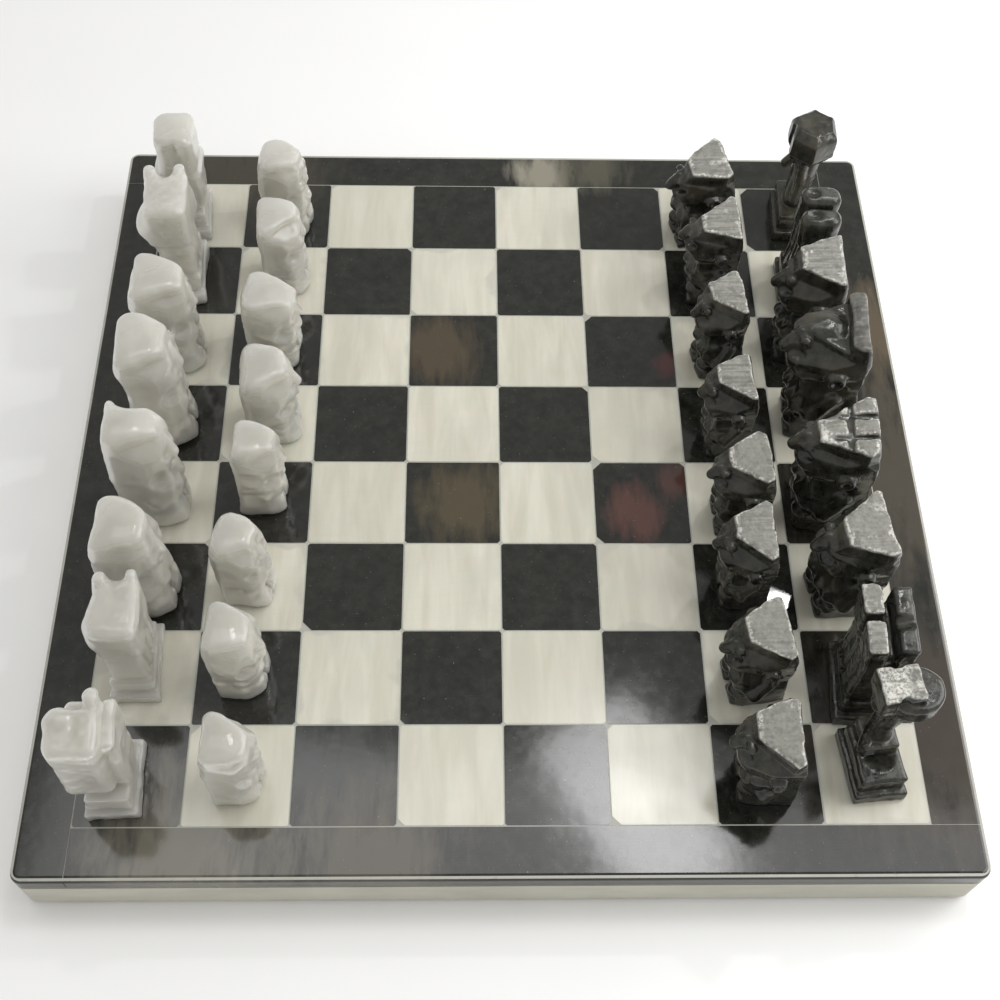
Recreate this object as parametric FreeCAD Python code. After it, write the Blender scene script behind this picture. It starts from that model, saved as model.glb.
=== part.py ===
"""A carved stone chess set standing on its inlaid stone board.

Frame: +Z up, origin at the centre of the board's underside, +X from the light army to the
dark one and +Y from rank 1 to rank 8. Lengths are in millimetres and angles in degrees.
"""
import FreeCAD, Part

import math
import os
import random
from collections import namedtuple

from FreeCAD import Vector

# Board: 1.5 inch squares inside a 0.75 inch border.
SQUARE = 38.1
RANKS = 8
BORDER = 19.05
FIELD = SQUARE * RANKS
BOARD = FIELD + 2 * BORDER
CORNER_RADIUS = 4.0

# Board layers, from the table upwards.
FELT_THICK = 1.5
FELT_INSET = 4.0
SLAB_THICK = 18.0
SLAB_EDGE_CHAMFER = 1.0
BED_THICK = 1.5
TILE_THICK = 7.0
SLAB_BOTTOM = FELT_THICK
BED_BOTTOM = SLAB_BOTTOM + SLAB_THICK
TILE_BOTTOM = BED_BOTTOM + BED_THICK
BOARD_TOP = TILE_BOTTOM + TILE_THICK
RESIN_RECESS = 0.15
TILE_GAP = 0.5
BORDER_EDGE_RADIUS = 2.2

# Tile corners lost in sawing, filled flush with resin.
SMALLEST_CHIP = 0.4
LARGEST_CHIP = 3.6
CHIP_SEED = 11

# A piece's corners are rounded by about this much in every view.
CARVED_RADIUS = 1.2

Piece = namedtuple("Piece", "kind height depth width forward across turn slant lean", defaults=[0])
Design = namedtuple("Design", "height side front plan cuts")
Cut = namedtuple("Cut", "plan bottom top")


# ---------------------------------------------------------------- outlines and solids

def corner_arc(before, corner, after, radius):
    """Arc that rounds one corner, wider at a slight turn, within the room its sides leave."""
    to_before = before - corner
    to_after = after - corner
    room = 0.45 * min(to_before.Length, to_after.Length)
    half_angle = to_before.getAngle(to_after) / 2
    to_before.normalize()
    to_after.normalize()
    setback = min(max(radius / math.tan(half_angle), radius), room)
    arc_radius = setback * math.tan(half_angle)
    bisector = (to_before + to_after).normalize()
    middle = corner + bisector * (arc_radius / math.sin(half_angle) - arc_radius)
    return Part.Arc(corner + to_before * setback, middle, corner + to_after * setback)


def rounded_face(corners, radius):
    """Flat face through the corners, every one of them rounded."""
    arcs = []
    for i, corner in enumerate(corners):
        after = corners[(i + 1) % len(corners)]
        arcs.append(corner_arc(corners[i - 1], corner, after, radius))
    edges = []
    for i, arc in enumerate(arcs):
        following = arcs[(i + 1) % len(arcs)]
        edges.append(arc.toShape())
        edges.append(Part.LineSegment(arc.EndPoint, following.StartPoint).toShape())
    return Part.Face(Part.Wire(edges))


def block(x_range, y_range, z_range):
    """Axis-aligned box between the given limits."""
    size = [r[1] - r[0] for r in (x_range, y_range, z_range)]
    return Part.makeBox(*size, Vector(x_range[0], y_range[0], z_range[0]))


def mirrored(half_outline):
    """Closed outline from its right half, listed from the bottom up."""
    return half_outline + [(-across, up) for across, up in reversed(half_outline)]


def side_prism(outline, scale_x, scale_z, reach):
    """Outline seen along Y, given as (forward, up), extruded right across the block."""
    corners = [Vector(x * scale_x, -reach, z * scale_z) for x, z in outline]
    return rounded_face(corners, CARVED_RADIUS).extrude(Vector(0, 2 * reach, 0))


def front_prism(outline, scale_y, scale_z, reach):
    """Outline seen along X, given as (across, up), extruded right through the block."""
    corners = [Vector(-reach, y * scale_y, z * scale_z) for y, z in outline]
    return rounded_face(corners, CARVED_RADIUS).extrude(Vector(2 * reach, 0, 0))


def plan_prism(outline, scale_x, scale_y, height):
    """Outline seen from above, given as (forward, across), extruded upwards."""
    corners = [Vector(x * scale_x, y * scale_y, 0) for x, y in outline]
    return rounded_face(corners, CARVED_RADIUS).extrude(Vector(0, 0, height))


# ---------------------------------------------------------------- carved designs

# Outlines are in millimetres at the design's own height: x forward (the way the figure
# faces), y across, z up from the foot. Side outlines run up the back and down the face.
# Front outlines list one half, from the foot up. A cut is an upright prism, given by its
# corners in plan and the heights that it runs between.

FIGURE_SIDE = [
    (-9.5, 0), (-9.0, 12), (-7.5, 24), (-7.0, 38), (-5.0, 46), (8.0, 46), (12.6, 41),
    (16.0, 36), (16.0, 31), (11.0, 24), (11.5, 17), (11.5, 13), (8.6, 9), (9.2, 6), (9.2, 0),
]
FIGURE_FRONT = [(9.5, 0), (10.0, 10), (9.5, 20), (10.5, 30), (12.0, 38), (12.0, 46)]
FIGURE_PLAN = [
    (-9.5, -10.0), (-5.0, -12.0), (2.0, -11.6), (11.5, -7.0), (16.0, -3.2),
    (16.0, 3.2), (11.5, 7.0), (2.0, 11.6), (-5.0, 12.0), (-9.5, 10.0),
]

IDOL_SIDE = [
    (-9.2, 0), (-10.0, 18), (-10.0, 37), (-8.0, 46), (7.0, 46), (9.2, 37), (10.0, 31),
    (8.8, 26), (10.0, 19), (8.8, 12.5), (7.0, 10.5), (7.0, 8.5), (9.6, 6.5), (9.6, 0),
]
IDOL_FRONT = [(10.2, 0), (10.8, 8), (10.2, 16), (11.0, 28), (11.2, 38), (10.2, 46)]
IDOL_PLAN = [
    (-10.0, -8.0), (-7.0, -11.2), (3.0, -11.0), (10.0, -5.5),
    (10.0, 5.5), (3.0, 11.0), (-7.0, 11.2), (-10.0, 8.0),
]

ROOK_SIDE = mirrored([
    (9.5, 0), (9.5, 6), (8.2, 7), (8.2, 14), (6.5, 16), (6.5, 44), (10.5, 49), (10.5, 60),
])
ROOK_FRONT = [(14.5, 0), (14.5, 6), (12.0, 7), (12.0, 14), (8.0, 16), (7.5, 48), (8.0, 60)]
ROOK_PLAN = [
    (-9.5, -14.5), (9.5, -14.5), (10.5, -8.0), (10.5, 8.0),
    (9.5, 14.5), (-9.5, 14.5), (-10.5, 8.0), (-10.5, -8.0),
]

TOWER_SIDE = [
    (-9.5, 0), (-9.5, 6), (-9.0, 7), (-9.0, 13), (-12.5, 16), (-12.5, 36), (-10.5, 50), (-8.0, 60),
    (7.5, 60), (8.8, 50), (9.2, 36), (9.2, 16), (9.0, 13), (9.0, 7), (9.5, 6), (9.5, 0),
]
TOWER_FRONT = [(14.5, 0), (14.5, 6), (13.0, 7), (13.0, 14), (10.5, 16), (11.0, 44), (10.0, 60)]
TOWER_PLAN = [
    (-9.5, -14.5), (9.5, -14.5), (9.5, 14.5), (-9.5, 14.5), (-12.5, 9.0), (-12.5, -9.0),
]

KNIGHT_SIDE = mirrored([
    (9.0, 0), (9.0, 6), (8.2, 7), (8.2, 14), (7.0, 16), (7.2, 40), (9.8, 46), (9.8, 61),
])
KNIGHT_FRONT = [
    (15.0, 0), (15.0, 6), (13.0, 7), (13.0, 14), (10.5, 16), (11.0, 38), (13.5, 46), (13.0, 61),
]
KNIGHT_PLAN = [(-9.8, -15.0), (9.8, -15.0), (9.8, 15.0), (-9.8, 15.0)]

# Rooks and knights stand on a plinth this high.
PLINTH_TOP = 14.0

# Saw cuts run this far past the stone.
CLEAR = 20.0


def upright_cut(x_range, y_range, z_range):
    """A straight-sided cut."""
    corners = [
        (x_range[0], y_range[0]), (x_range[1], y_range[0]),
        (x_range[1], y_range[1]), (x_range[0], y_range[1]),
    ]
    return Cut(corners, *z_range)


def edge_notch(forward, across, half_width, depth, z_range):
    """A V cut into the edge that lies at the given distance across."""
    outward = math.copysign(CLEAR, across)
    inward = math.copysign(depth, across)
    spread = half_width * (1 + CLEAR / depth)
    corners = [
        (forward - spread, across + outward),
        (forward + spread, across + outward),
        (forward, across - inward),
    ]
    return Cut(corners, *z_range)


def temple_cuts(back, brow, lowest):
    """The head narrowed on both sides from its back edge to the brow, above the given height."""
    cuts = []
    for side in (-1, 1):
        corners = [
            (back[0], side * back[1]), (brow[0], side * brow[1]),
            (CLEAR, side * CLEAR), (back[0], side * CLEAR),
        ]
        cuts.append(Cut(corners, lowest, 46 + CLEAR))
    return cuts


def headdress_cuts():
    """The figure's headdress, broad at the back and nearly pointed in front."""
    return temple_cuts((-4.0, 12.4), (16.0, 0.7), 38)


def idol_cuts():
    """The idol's head, a little narrower in front."""
    return temple_cuts((-5.0, 11.4), (12.0, 2.9), 40)


def crown_cuts():
    """Saw cuts across and along the crown, which leave six ridges."""
    top = (42.5, 46 + CLEAR)
    along = [upright_cut((-CLEAR, CLEAR), (y - 0.9, y + 0.9), top) for y in (-4.0, 4.0)]
    return headdress_cuts() + along + [upright_cut((1.6, 3.4), (-CLEAR, CLEAR), top)]


def horn_cuts():
    """One V cut in the head's edge, which leaves two horns."""
    return idol_cuts() + [edge_notch(-1, 9.5, 3.5, 4.5, (36, 46 + CLEAR))]


def plume_cuts():
    """The head cut down everywhere but at the tall plume along its back."""
    return headdress_cuts() + [upright_cut((-0.5, CLEAR), (-CLEAR, CLEAR), (40, 46 + CLEAR))]


def battlement_cuts():
    """A V notch in each side of the head."""
    return [edge_notch(0, side * 9.5, 3.5, 4.0, (48, 60 + CLEAR)) for side in (-1, 1)]


def rook_cuts():
    """Shaft corners cut back to leave an upright bar on each side, under the notched head."""
    cuts = battlement_cuts()
    for x_range in ((3.2, CLEAR), (-CLEAR, -3.2)):
        for y_range in ((4.2, CLEAR), (-CLEAR, -4.2)):
            cuts.append(upright_cut(x_range, y_range, (14, 48)))
    return cuts


def knight_cuts():
    """Grooves that part the four lobes of the head and panel the body."""
    cuts = []
    for side in (-1, 1):
        groove = sorted((side * 1.6, side * 3.2))
        cuts.append(upright_cut(groove, (-CLEAR, CLEAR), (56, 61 + CLEAR)))
        flank = sorted((side * 6.2, side * CLEAR))
        for across in (-6.0, 0.0, 6.0):
            cuts.append(upright_cut(flank, (across - 0.9, across + 0.9), (15, 45)))
        waist = sorted((side * 6.8, side * CLEAR))
        cuts.append(upright_cut(waist, (-1.6, 2.4), (45, 61 + CLEAR)))
    return cuts


DESIGNS = {
    "figure": Design(46.0, FIGURE_SIDE, FIGURE_FRONT, FIGURE_PLAN, headdress_cuts()),
    "crowned": Design(46.0, FIGURE_SIDE, FIGURE_FRONT, FIGURE_PLAN, crown_cuts()),
    "plumed": Design(46.0, FIGURE_SIDE, FIGURE_FRONT, FIGURE_PLAN, plume_cuts()),
    "idol": Design(46.0, IDOL_SIDE, IDOL_FRONT, IDOL_PLAN, idol_cuts()),
    "horned": Design(46.0, IDOL_SIDE, IDOL_FRONT, IDOL_PLAN, horn_cuts()),
    "rook": Design(60.0, ROOK_SIDE, ROOK_FRONT, ROOK_PLAN, rook_cuts()),
    "tower": Design(60.0, TOWER_SIDE, TOWER_FRONT, TOWER_PLAN, battlement_cuts()),
    "knight": Design(61.0, KNIGHT_SIDE, KNIGHT_FRONT, KNIGHT_PLAN, knight_cuts()),
}

# ---------------------------------------------------------------- the pieces as they stand

# One row a piece, from rank 1 to rank 8: the design, its height, its size along and across
# the way it faces as shares of the design's own, how far its foot stands forward of its
# square's centre and how far towards rank 8, its turn, how steeply its top falls forward,
# and how far the part above its plinth is set over to the piece's own left.
DARK_OFFICERS = [
    Piece("rook", 62, 1.00, 0.95, 0.5, 2.5, 7, 0, -7.0),
    Piece("knight", 60, 1.00, 1.05, 2.0, -4.0, -2, 0),
    Piece("figure", 58, 1.20, 1.20, 2.2, -3.5, 6, 2),
    Piece("crowned", 64, 1.35, 1.22, 2.7, -3.0, -4, 8),
    Piece("plumed", 68, 1.38, 1.22, 1.2, 3.5, -4, 5),
    Piece("figure", 57, 1.22, 1.14, 1.7, 4.0, -3, 1),
    Piece("knight", 57, 0.95, 0.95, 1.0, -4.0, -4, 0),
    Piece("rook", 60, 0.90, 0.95, -2.0, 0, -3, 0),
]
DARK_PAWNS = [
    Piece("figure", 46.5, 1.04, 1.12, 1.2, -1.5, -1, 4),
    Piece("figure", 47.0, 1.04, 1.07, 1.7, -1.5, 8, 2),
    Piece("figure", 47.0, 0.94, 1.08, 1.7, 0.0, 1, 4),
    Piece("figure", 45.5, 1.02, 1.03, -0.3, -6.0, 3, 5),
    Piece("figure", 45.5, 0.92, 0.98, 1.7, -7.0, 2, 3),
    Piece("figure", 49.0, 0.92, 0.95, 2.2, -6.0, 8, 3),
    Piece("figure", 48.0, 1.07, 1.04, 0.7, -3.0, 1, 3),
    Piece("figure", 47.0, 1.18, 1.03, 2.7, -7.5, 12, 2),
]
LIGHT_OFFICERS = [
    Piece("tower", 60, 0.95, 0.98, -5.0, -2.5, 2, 0),
    Piece("knight", 55, 0.98, 1.00, -2.0, 5.0, 1, 0),
    Piece("idol", 59, 1.25, 1.14, -1.8, -4.0, -4, 0),
    Piece("horned", 67, 1.22, 1.00, -1.8, -3.5, -1, 8),
    Piece("idol", 64, 1.20, 1.25, -2.8, -2.0, 5, 4),
    Piece("idol", 56, 1.22, 1.12, -2.8, -3.5, 2, 2),
    Piece("knight", 59, 1.08, 1.10, -4.5, 2.0, 5, 0),
    Piece("tower", 57, 0.90, 0.90, -4.0, -2.0, 4, 0),
]
LIGHT_PAWNS = [
    Piece("idol", 45.0, 0.95, 0.97, 1.2, -2.5, -5, 7),
    Piece("idol", 44.0, 0.95, 1.02, -0.8, 1.0, -5, 9),
    Piece("idol", 47.5, 0.98, 0.85, -1.2, -2.0, -12, 3),
    Piece("idol", 48.0, 0.98, 0.88, 1.5, 1.0, -1, 6),
    Piece("idol", 44.5, 1.08, 1.12, 3.4, -1.0, 6, 1),
    Piece("idol", 43.0, 1.12, 1.08, 1.0, -1.0, -5, 9),
    Piece("idol", 44.0, 1.00, 1.03, 2.8, 1.0, 4, 6),
    Piece("idol", 46.0, 1.02, 0.85, 2.3, -5.0, -10, 0),
]

OFFICER_NAMES = ["rook_1", "knight_1", "bishop_1", "king", "queen", "bishop_2", "knight_2", "rook_2"]
OFFICER_COLUMN = 3.5
PAWN_COLUMN = 2.5


def leaned(outline, lean):
    """Front outline with everything above the plinth set over to one side."""
    return [(across + lean if up > PLINTH_TOP else across, up) for across, up in outline]


def saw(cut, piece, stretch):
    """The stone that one cut takes out of a piece of this size."""
    corners = [
        Vector(x * piece.depth, (y + piece.lean) * piece.width, cut.bottom * stretch)
        for x, y in cut.plan
    ]
    outline = Part.Face(Part.makePolygon(corners + corners[:1]))
    return outline.extrude(Vector(0, 0, (cut.top - cut.bottom) * stretch))


def top_lid(piece, design, reach):
    """Everything above the slanting plane that the piece's top is sawn to."""
    lid = block((-reach, reach), (-reach, reach), (0, reach))
    lid.translate(Vector(0, 0, piece.height))
    crown_back = Vector(min(x for x, _ in design.side) * piece.depth, 0, piece.height)
    lid.rotate(crown_back, Vector(0, 1, 0), piece.slant)
    return lid


def carve(piece):
    """One piece at the origin: what its three outlines share, less the saw cuts."""
    design = DESIGNS[piece.kind]
    stretch = piece.height / design.height
    reach = 2 * design.height
    solid = side_prism(design.side, piece.depth, stretch, reach)
    front = leaned(mirrored(design.front), piece.lean)
    solid = solid.common(front_prism(front, piece.width, stretch, reach))
    solid = solid.common(plan_prism(design.plan, piece.depth, piece.width, reach))
    for cut in design.cuts:
        solid = solid.cut(saw(cut, piece, stretch))
    return solid.cut(top_lid(piece, design, reach))


def stand(piece, facing, column, rank):
    """The carved piece turned and set on its square; facing is +1 towards +X, -1 towards -X."""
    solid = carve(piece)
    solid.rotate(Vector(), Vector(0, 0, 1), piece.turn + (0 if facing > 0 else 180))
    centre_x = -facing * column * SQUARE + facing * piece.forward
    centre_y = (rank - (RANKS - 1) / 2) * SQUARE + piece.across
    solid.translate(Vector(centre_x, centre_y, BOARD_TOP))
    return solid


# ---------------------------------------------------------------- the board

def rounded_slab(size, bottom, thickness, radius):
    """Square slab, centred, with rounded corners."""
    half = size / 2
    slab = block((-half, half), (-half, half), (bottom, bottom + thickness))
    upright = [e for e in slab.Edges if abs(e.tangentAt(e.FirstParameter).z) > 0.9]
    return slab.makeFillet(radius, upright)


def make_felt():
    """Felt glued under the slab, which keeps the stone off the table."""
    return rounded_slab(BOARD - 2 * FELT_INSET, 0, FELT_THICK, CORNER_RADIUS)


def make_backing_slab():
    """Cast slab that carries the thin stone inlay."""
    slab = rounded_slab(BOARD, SLAB_BOTTOM, SLAB_THICK, CORNER_RADIUS)
    lowest = [e for e in slab.Edges if e.BoundBox.ZMax < SLAB_BOTTOM + 0.01]
    return slab.makeChamfer(SLAB_EDGE_CHAMFER, lowest)


def make_top_blank():
    """The whole stone top before it is divided, with its outer edge rounded over."""
    top = rounded_slab(BOARD, TILE_BOTTOM, TILE_THICK, CORNER_RADIUS)
    highest = [e for e in top.Edges if e.BoundBox.ZMin > BOARD_TOP - 0.01]
    return top.makeFillet(BORDER_EDGE_RADIUS, highest)


def make_borders(blank):
    """Four strips laid pinwheel fashion: each runs past one neighbour and butts on the other."""
    inner = FIELD / 2 + TILE_GAP / 2
    outer = BOARD / 2 + 1
    seam = TILE_GAP / 2
    strip = block((-outer, -inner), (-outer, inner - seam), (TILE_BOTTOM, BOARD_TOP))
    borders = {}
    for name, turn in (("left", 0), ("front", 90), ("right", 180), ("back", 270)):
        region = strip.copy()
        region.rotate(Vector(), Vector(0, 0, 1), turn)
        borders["border_" + name] = blank.common(region)
    return borders


def make_tile(column, rank, chance):
    """One tile; its corners have lost small chips of random size."""
    half = (SQUARE - TILE_GAP) / 2
    corners = []
    for sign_x, sign_y in ((-1, -1), (1, -1), (1, 1), (-1, 1)):
        chip = chance.uniform(SMALLEST_CHIP, 1.0)
        if chance.random() < 0.12:
            chip = chance.uniform(1.5, LARGEST_CHIP)
        along = Vector(sign_x * (half - chip), sign_y * half, TILE_BOTTOM)
        down = Vector(sign_x * half, sign_y * (half - chip), TILE_BOTTOM)
        corners += [down, along] if sign_x * sign_y > 0 else [along, down]
    tile = Part.Face(Part.makePolygon(corners + corners[:1])).extrude(Vector(0, 0, TILE_THICK))
    centre = (RANKS - 1) / 2
    tile.translate(Vector((column - centre) * SQUARE, (rank - centre) * SQUARE, 0))
    return tile


def make_tiles():
    """The 64 tiles, grouped by rank and colour; the near left corner is dark."""
    chance = random.Random(CHIP_SEED)
    groups = {}
    for rank in range(RANKS):
        for column in range(RANKS):
            colour = "dark" if (rank + column) % 2 == 0 else "light"
            name = "%s_tiles_rank_%d" % (colour, rank + 1)
            groups.setdefault(name, []).append(make_tile(column, rank, chance))
    return {name: Part.makeCompound(tiles) for name, tiles in groups.items()}


def make_resin_bed(stone):
    """Resin under the tiles and up between them, just short of their polished face."""
    bed = rounded_slab(BOARD - 1.0, BED_BOTTOM, BED_THICK + TILE_THICK - RESIN_RECESS, CORNER_RADIUS)
    for shape in stone:
        bed = bed.cut(shape)
    return max(bed.Solids, key=lambda solid: solid.Volume)


def make_board():
    """Every node of the board, by name."""
    nodes = {"felt_base": make_felt(), "backing_slab": make_backing_slab()}
    borders = make_borders(make_top_blank())
    tiles = make_tiles()
    nodes["resin_bed"] = make_resin_bed(list(borders.values()) + list(tiles.values()))
    nodes.update(borders)
    nodes.update(tiles)
    return nodes


def make_pieces():
    """The 32 pieces, by name, the light ones at -X and the dark ones at +X."""
    nodes = {}
    armies = (("light", 1, LIGHT_OFFICERS, LIGHT_PAWNS), ("dark", -1, DARK_OFFICERS, DARK_PAWNS))
    for colour, facing, officers, pawns in armies:
        for rank in range(RANKS):
            officer = stand(officers[rank], facing, OFFICER_COLUMN, rank)
            nodes["%s_%s" % (colour, OFFICER_NAMES[rank])] = officer
            pawn = stand(pawns[rank], facing, PAWN_COLUMN, rank)
            nodes["%s_pawn_%d" % (colour, rank + 1)] = pawn
    return nodes


def main():
    """Write one STEP file a node."""
    os.makedirs("parts", exist_ok=True)
    nodes = {**make_board(), **make_pieces()}
    for name, shape in nodes.items():
        if not shape.isValid():
            raise ValueError(name + " is not a valid shape")
        shape.exportStep("parts/%s.step" % name)
    print(len(nodes), "nodes")


main()
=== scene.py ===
"""Carved stone chess set on an inlaid stone board: shapes, materials, light and camera.

The board keeps its CAD nodes, with softened edges and stone materials. Each of the 32 pieces
is carved again in detail as a signed distance field on a grid, then fitted to the box of the
CAD node that it replaces. Carving is in the piece's own millimetres: x forward, the way it
faces, y to its left and z up from its foot.
"""
import math

import bpy
import numpy as np
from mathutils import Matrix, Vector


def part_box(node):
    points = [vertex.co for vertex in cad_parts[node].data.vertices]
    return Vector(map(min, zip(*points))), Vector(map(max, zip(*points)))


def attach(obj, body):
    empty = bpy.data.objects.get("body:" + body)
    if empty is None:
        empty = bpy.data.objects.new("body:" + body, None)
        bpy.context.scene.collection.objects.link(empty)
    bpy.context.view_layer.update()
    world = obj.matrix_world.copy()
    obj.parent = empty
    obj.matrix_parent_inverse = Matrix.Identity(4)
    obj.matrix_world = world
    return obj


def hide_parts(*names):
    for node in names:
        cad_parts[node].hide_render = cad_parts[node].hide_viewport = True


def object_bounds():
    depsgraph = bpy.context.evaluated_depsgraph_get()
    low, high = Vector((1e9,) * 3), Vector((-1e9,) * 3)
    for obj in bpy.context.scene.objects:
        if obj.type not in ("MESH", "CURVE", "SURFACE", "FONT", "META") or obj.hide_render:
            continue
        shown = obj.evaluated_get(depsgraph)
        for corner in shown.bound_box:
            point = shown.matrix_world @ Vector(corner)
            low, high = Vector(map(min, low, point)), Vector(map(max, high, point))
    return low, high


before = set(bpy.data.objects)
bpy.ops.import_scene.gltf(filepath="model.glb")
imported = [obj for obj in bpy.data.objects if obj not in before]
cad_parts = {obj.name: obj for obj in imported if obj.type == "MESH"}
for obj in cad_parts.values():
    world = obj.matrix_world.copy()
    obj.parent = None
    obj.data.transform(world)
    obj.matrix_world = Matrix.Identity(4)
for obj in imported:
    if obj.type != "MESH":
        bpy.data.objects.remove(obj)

import openvdb
from mathutils import Matrix, Vector

CAD_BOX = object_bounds()

MM = 0.001
SQUARE = 38.1 * MM
BOARD_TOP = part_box("light_tiles_rank_1")[1].z

# Grid step of the carvings, in design millimetres.
VOXEL = 0.45


# ---------------------------------------------------------------- signed distance carving

class Grid:
    """Points round one design, in millimetres, with smooth random fields over them."""

    def __init__(self, low, high, seed):
        counts = [int(math.ceil((b - a) / VOXEL)) + 1 for a, b in zip(low, high)]
        self.low = np.array(low, float)
        self.axes = [a + VOXEL * np.arange(n) for a, n in zip(low, counts)]
        self.chance = np.random.default_rng(seed)
        self.x, self.y, self.z = np.meshgrid(*self.axes, indexing="ij", sparse=True)

    def waves(self, spacing):
        """Smooth random field from -1 to 1 whose lumps are about the spacing across."""
        weights = []
        for axis in self.axes:
            place = (axis - axis[0]) / spacing
            cell = place.astype(int)
            part = place - cell
            part = part * part * (3 - 2 * part)
            rows = np.zeros((len(axis), cell[-1] + 2))
            rows[np.arange(len(axis)), cell] = 1 - part
            rows[np.arange(len(axis)), cell + 1] += part
            weights.append(rows)
        lumps = self.chance.uniform(-1, 1, [w.shape[1] for w in weights])
        return np.einsum("ai,bj,ck,ijk->abc", *weights, lumps, optimize=True)

    def warp(self, spacing, reach):
        """Bends the grid's points, so that every shape after it comes out hand-made."""
        self.x = self.x + reach * self.waves(spacing)
        self.y = self.y + reach * self.waves(spacing)
        self.z = self.z + reach * 0.5 * self.waves(spacing)


def outline(u, v, corners):
    """Signed distance to a closed outline in the plane, negative inside."""
    nearest = np.full(np.broadcast(u, v).shape, np.inf)
    inside = np.zeros(nearest.shape, bool)
    for (au, av), (bu, bv) in zip(corners, corners[1:] + corners[:1]):
        eu, ev = bu - au, bv - av
        t = np.clip(((u - au) * eu + (v - av) * ev) / (eu * eu + ev * ev), 0, 1)
        nearest = np.minimum(nearest, (u - au - t * eu) ** 2 + (v - av - t * ev) ** 2)
        if av != bv:
            inside ^= ((av <= v) != (bv <= v)) & (u < au + (v - av) / (bv - av) * eu)
    return np.where(inside, -1, 1) * np.sqrt(nearest)


def ball(g, centre, radii):
    """Ellipsoid."""
    parts = [(p - c) / r for p, c, r in zip((g.x, g.y, g.z), centre, radii)]
    length = np.sqrt(sum(p * p for p in parts)) + 1e-6
    slope = np.sqrt(sum((p / r) ** 2 for p, r in zip(parts, radii))) + 1e-6
    return length * (length - 1) / slope


def limb(g, start, end, thick_start, thick_end):
    """Round bar that may taper."""
    start, end = np.array(start, float), np.array(end, float)
    run = end - start
    offset = [p - s for p, s in zip((g.x, g.y, g.z), start)]
    t = np.clip(sum(o * r for o, r in zip(offset, run)) / (run @ run), 0, 1)
    gap = np.sqrt(sum((o - t * r) ** 2 for o, r in zip(offset, run)))
    return gap - (thick_start + t * (thick_end - thick_start))


def brick(g, centre, half, radius=0.6, pitch=0.0):
    """Rounded box; pitch tips its front down, in degrees."""
    c, s = math.cos(math.radians(pitch)), math.sin(math.radians(pitch))
    dx, dy, dz = g.x - centre[0], g.y - centre[1], g.z - centre[2]
    local = (c * dx - s * dz, dy, s * dx + c * dz)
    over = [np.abs(p) - (h - radius) for p, h in zip(local, half)]
    outside = np.sqrt(sum(np.maximum(q, 0) ** 2 for q in over))
    return outside + np.minimum(np.maximum(np.maximum(over[0], over[1]), over[2]), 0) - radius


def join(a, b, soft):
    """Union of two shapes with a filleted seam."""
    h = np.clip(0.5 + 0.5 * (b - a) / soft, 0, 1)
    return b * (1 - h) + a * h - soft * h * (1 - h)


def meet(a, b, soft):
    """What two shapes share, with the edge between them worn."""
    return -join(-a, -b, soft)


def cut(a, b, soft):
    """The first shape less the second."""
    return meet(a, -b, soft)


def both(shape):
    """Calls shape(side) for the left and the right side and joins the two."""
    return np.minimum(shape(1), shape(-1))


def mirrored(half):
    """Closed outline from its right half, listed from the bottom up."""
    return half + [(-across, up) for across, up in reversed(half)]


# ---------------------------------------------------------------- the seated figures

# Silhouettes in millimetres, the CAD designs' or a little inside them where masses are added.
# The dark army's figure juts forward at the face, the light army's idol stands nearly upright.
# Both are designed at the same height, and each box holds a design's lowest and highest x and y.
FIGURE_HEIGHT = 46.0
FIGURE_SIDE = [
    (-9.2, 0), (-8.6, 12), (-7.4, 24), (-7.0, 38), (-5.0, 47), (7.8, 47), (10.8, 41),
    (14.6, 36), (14.2, 30), (9.0, 25), (9.0, 21), (11.0, 17), (11.0, 13), (8.2, 9), (8.8, 0),
]
FIGURE_FRONT = mirrored([(9.2, 0), (9.6, 10), (9.2, 20), (10.5, 30), (12.0, 38), (12.0, 47)])
FIGURE_PLAN = [
    (-9.5, -10.0), (-5.0, -12.0), (2.0, -11.6), (11.5, -7.0), (16.0, -3.2),
    (16.0, 3.2), (11.5, 7.0), (2.0, 11.6), (-5.0, 12.0), (-9.5, 10.0),
]
FIGURE_BOX = ((-9.5, -12.0), (16.0, 12.0))

IDOL_SIDE = [
    (-9.0, 0), (-9.8, 18), (-9.8, 37), (-7.4, 48), (6.4, 48), (8.6, 38), (9.4, 31),
    (8.4, 26), (8.8, 20), (8.6, 13), (7.0, 10.8), (7.0, 8.6), (9.4, 6.6), (9.4, 0),
]
IDOL_FRONT = mirrored([(10.0, 0), (10.6, 8), (10.0, 16), (10.8, 28), (11.0, 38), (9.6, 48)])
IDOL_PLAN = [
    (-10.0, -8.0), (-7.0, -11.2), (3.0, -11.0), (10.0, -5.5),
    (10.0, 5.5), (3.0, 11.0), (-7.0, 11.2), (-10.0, 8.0),
]
IDOL_BOX = ((-10.0, -11.2), (10.0, 11.2))


def temples(g, look, back, brow, lowest):
    """Slanting flanks of a head, from its back edge to the brow, flaring out lower down."""
    forward, inward = brow[0] - back[0], back[1] - brow[1]
    across = np.abs(g.y + look["skew"] * (g.x - back[0]))
    flank = (g.x - back[0]) * inward + (across - back[1]) * forward
    corner = 0.866 * across - 0.5 * g.x - look["corner"]
    flank = np.maximum(flank / math.hypot(forward, inward), corner)
    return flank - 0.8 * np.maximum(lowest - g.z, 0)


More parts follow.
